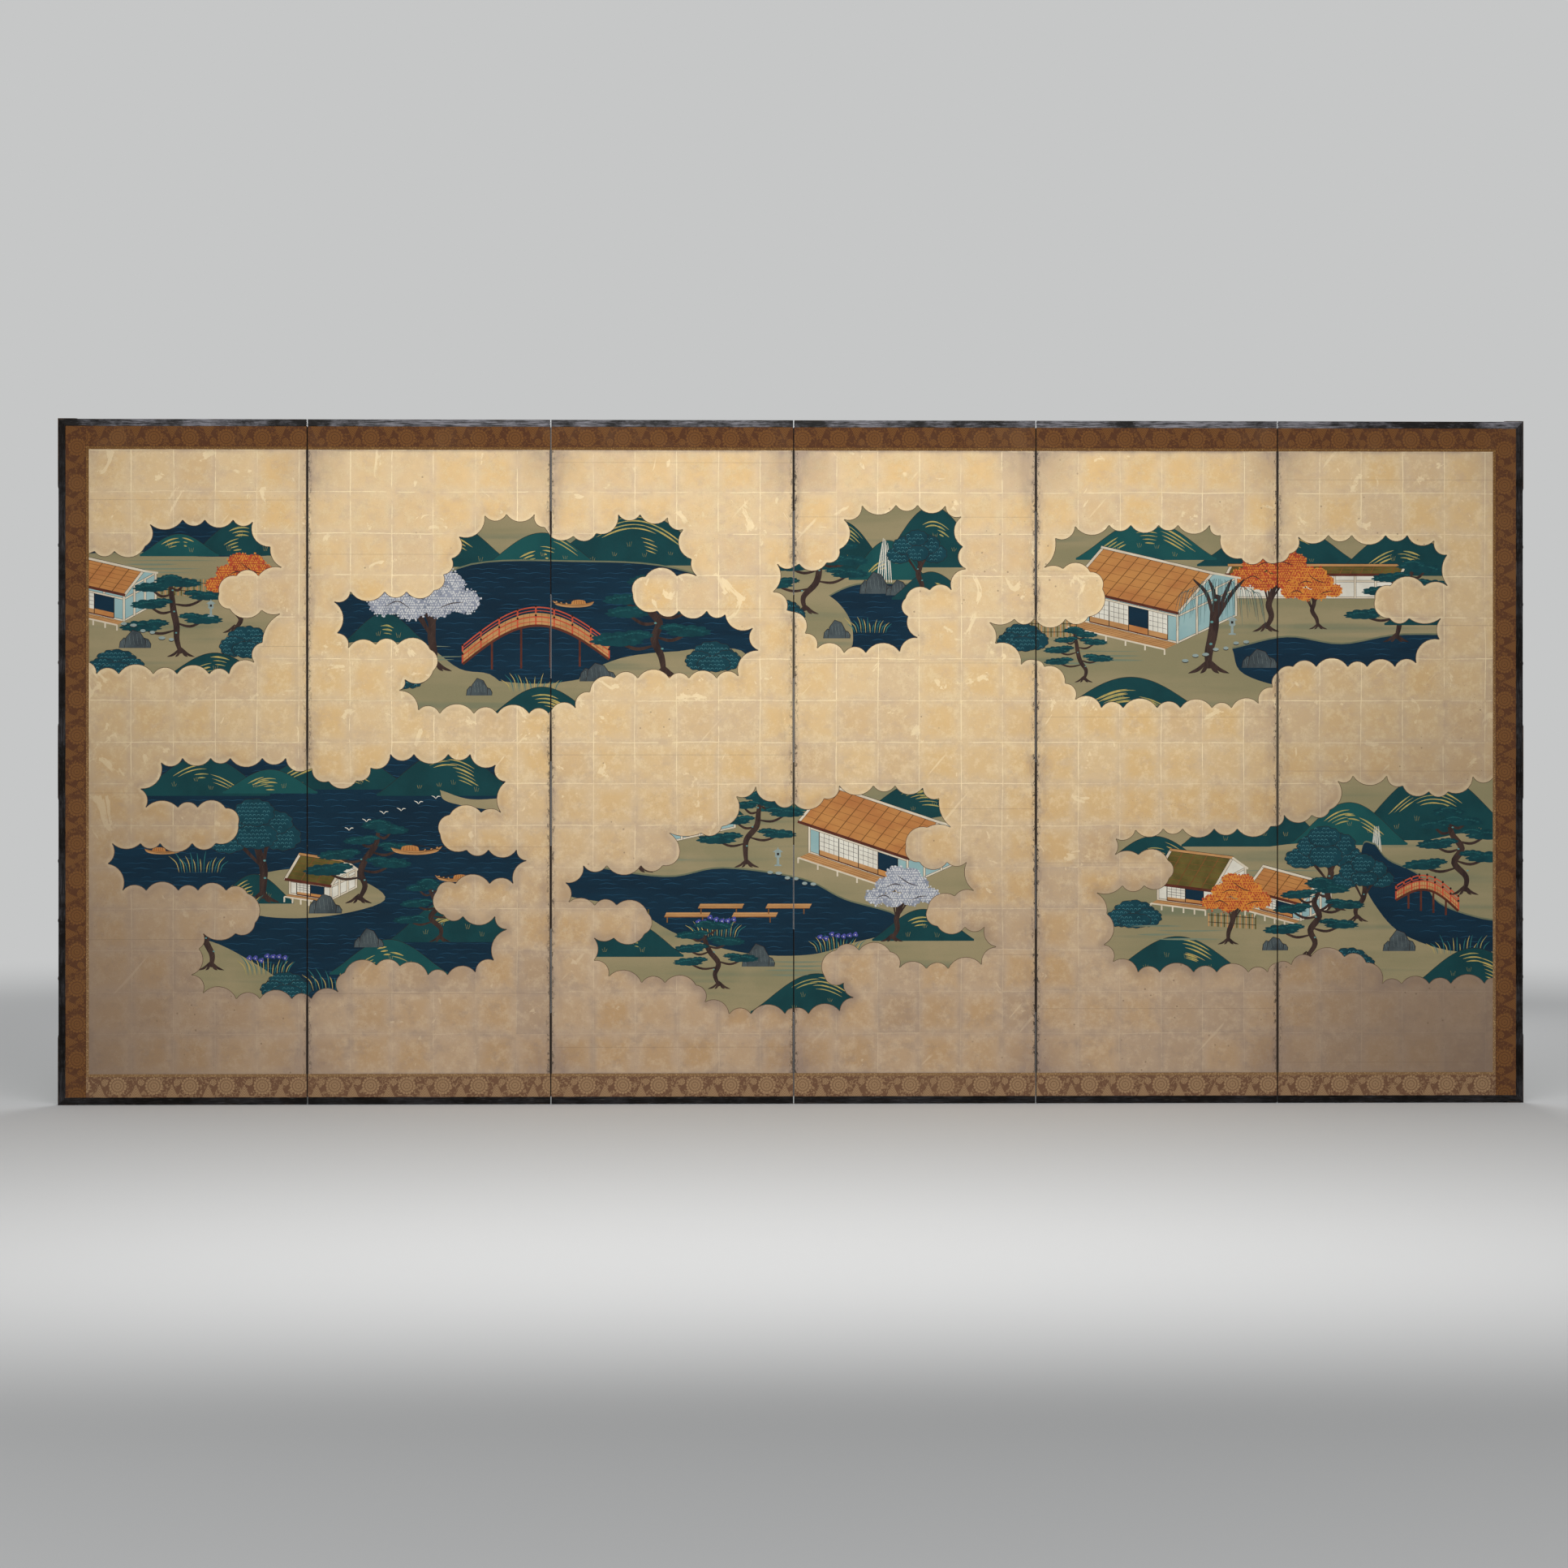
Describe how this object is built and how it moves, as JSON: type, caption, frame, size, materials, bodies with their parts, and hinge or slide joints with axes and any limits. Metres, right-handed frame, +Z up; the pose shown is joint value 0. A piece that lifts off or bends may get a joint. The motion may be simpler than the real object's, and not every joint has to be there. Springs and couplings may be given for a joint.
{
  "type": "folding screen",
  "caption": "Tall byobu folding screen of painted and gold-leafed paper panels in a lacquered frame, with two-way paper hinges that let it stand in a zigzag or fold flat.",
  "frame": {"origin": "on the floor under the middle fold, halfway through the depth of the open screen", "axes": "+X runs along the open screen to the right as seen from the front, the painted fronts face -Y, +Z up"},
  "size_m": [3.737, 0.02, 1.743],
  "materials": {
    "lattice_wood": "bare sawn cedar",
    "painting_paper": "matte painted paper",
    "back_paper": "matte printed paper",
    "gold_leaf": "aged gold leaf on paper",
    "brocade": "woven silk brocade",
    "lacquer": "worn dark lacquer",
    "hinge_paper": "matte laid paper",
    "dark_metal": "dark patinated metal"
  },
  "bodies": {
    "panel_1": {"panel_1_core": "lattice_wood", "panel_1_painting": "painting_paper", "panel_1_back_paper": "back_paper", "panel_1_gold_clouds": "gold_leaf", "panel_1_brocade": "brocade", "panel_1_top_rail": "lacquer", "panel_1_bottom_rail": "lacquer", "left_stile": "lacquer", "left_studs": "dark_metal", "left_edge_plates": "dark_metal", "fold_1_tongues_back_to_front": "hinge_paper"},
    "panel_2": {"panel_2_core": "lattice_wood", "panel_2_painting": "painting_paper", "panel_2_back_paper": "back_paper", "panel_2_gold_clouds": "gold_leaf", "panel_2_brocade": "brocade", "panel_2_top_rail": "lacquer", "panel_2_bottom_rail": "lacquer", "fold_1_tongues_front_to_back": "hinge_paper", "fold_2_tongues_front_to_back": "hinge_paper"},
    "panel_3": {"panel_3_core": "lattice_wood", "panel_3_painting": "painting_paper", "panel_3_back_paper": "back_paper", "panel_3_gold_clouds": "gold_leaf", "panel_3_brocade": "brocade", "panel_3_top_rail": "lacquer", "panel_3_bottom_rail": "lacquer", "fold_2_tongues_back_to_front": "hinge_paper", "fold_3_tongues_back_to_front": "hinge_paper"},
    "panel_4": {"panel_4_core": "lattice_wood", "panel_4_painting": "painting_paper", "panel_4_back_paper": "back_paper", "panel_4_gold_clouds": "gold_leaf", "panel_4_brocade": "brocade", "panel_4_top_rail": "lacquer", "panel_4_bottom_rail": "lacquer", "fold_3_tongues_front_to_back": "hinge_paper", "fold_4_tongues_front_to_back": "hinge_paper"},
    "panel_5": {"panel_5_core": "lattice_wood", "panel_5_painting": "painting_paper", "panel_5_back_paper": "back_paper", "panel_5_gold_clouds": "gold_leaf", "panel_5_brocade": "brocade", "panel_5_top_rail": "lacquer", "panel_5_bottom_rail": "lacquer", "fold_4_tongues_back_to_front": "hinge_paper", "fold_5_tongues_back_to_front": "hinge_paper"},
    "panel_6": {"panel_6_core": "lattice_wood", "panel_6_painting": "painting_paper", "panel_6_back_paper": "back_paper", "panel_6_gold_clouds": "gold_leaf", "panel_6_brocade": "brocade", "panel_6_top_rail": "lacquer", "panel_6_bottom_rail": "lacquer", "right_stile": "lacquer", "right_studs": "dark_metal", "right_edge_plates": "dark_metal", "fold_5_tongues_front_to_back": "hinge_paper"}
  },
  "joints": [
    {"name": "fold_1", "type": "hinge", "parent": "panel_2", "child": "panel_1", "pos_m": [-1.236, -0.01015, 0], "axis": [0, 0, 1], "range_deg": [0, 180]},
    {"name": "fold_2", "type": "hinge", "parent": "panel_3", "child": "panel_2", "pos_m": [-0.618, 0.01015, 0], "axis": [0, 0, -1], "range_deg": [0, 180]},
    {"name": "fold_3", "type": "hinge", "parent": "panel_3", "child": "panel_4", "pos_m": [0, -0.01015, 0], "axis": [0, 0, -1], "range_deg": [0, 180]},
    {"name": "fold_4", "type": "hinge", "parent": "panel_4", "child": "panel_5", "pos_m": [0.618, 0.01015, 0], "axis": [0, 0, 1], "range_deg": [0, 180]},
    {"name": "fold_5", "type": "hinge", "parent": "panel_5", "child": "panel_6", "pos_m": [1.236, -0.01015, 0], "axis": [0, 0, -1], "range_deg": [0, 180]}
  ]
}
